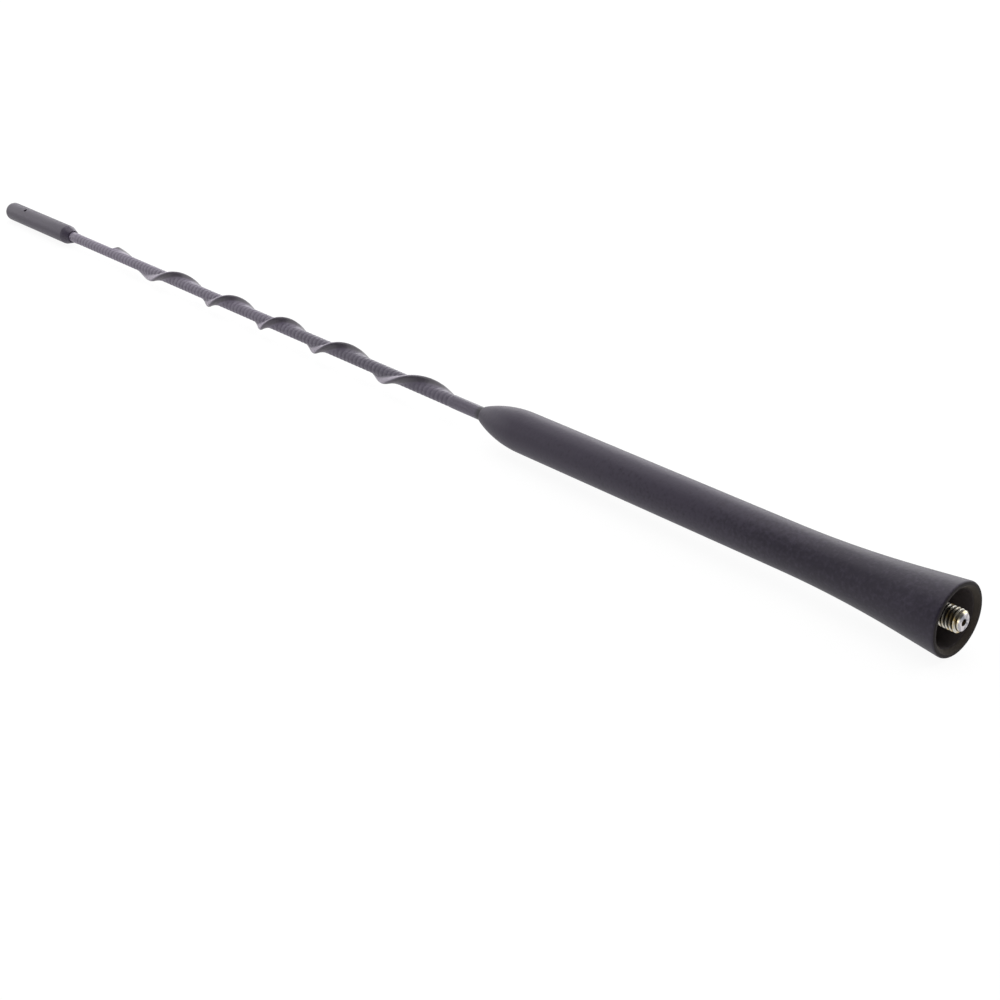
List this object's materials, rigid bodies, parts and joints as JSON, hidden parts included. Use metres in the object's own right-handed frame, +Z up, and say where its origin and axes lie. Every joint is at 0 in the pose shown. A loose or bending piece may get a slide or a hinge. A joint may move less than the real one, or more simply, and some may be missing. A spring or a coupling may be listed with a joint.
{
  "type": "roof antenna",
  "caption": "Rigid car roof antenna: flared rubber boot with a threaded stud in its hollow rim, slim sheathed whip with a left-hand spiral rib, and a rounded tip cap.",
  "frame": {"origin": "centre of the rim plane, where the boot meets the car, on the axis of the stud", "axes": "+X runs along the mast to its tip, +Z is up as the antenna lies, with the cap's vent 22 degrees from it towards +Y"},
  "size_m": [0.4017, 0.016, 0.016],
  "materials": {
    "boot_rubber": "matte soft-touch moulding with a fine grain",
    "plated_brass": "bright nickel plate over turned brass, warm in the thread roots",
    "glass_fibre": "pale resin-bonded glass-fibre rod",
    "copper_wire": "enamelled copper wire",
    "sheath_plastic": "matte grey sheath with fine cross ridges",
    "cap_rubber": "matte grey moulding"
  },
  "bodies": {
    "root": {"base_boot": "boot_rubber", "threaded_ferrule": "plated_brass", "core_rod": "glass_fibre", "wire_winding": "copper_wire", "whip_sheath": "sheath_plastic", "tip_cap": "cap_rubber"}
  },
  "joints": []
}
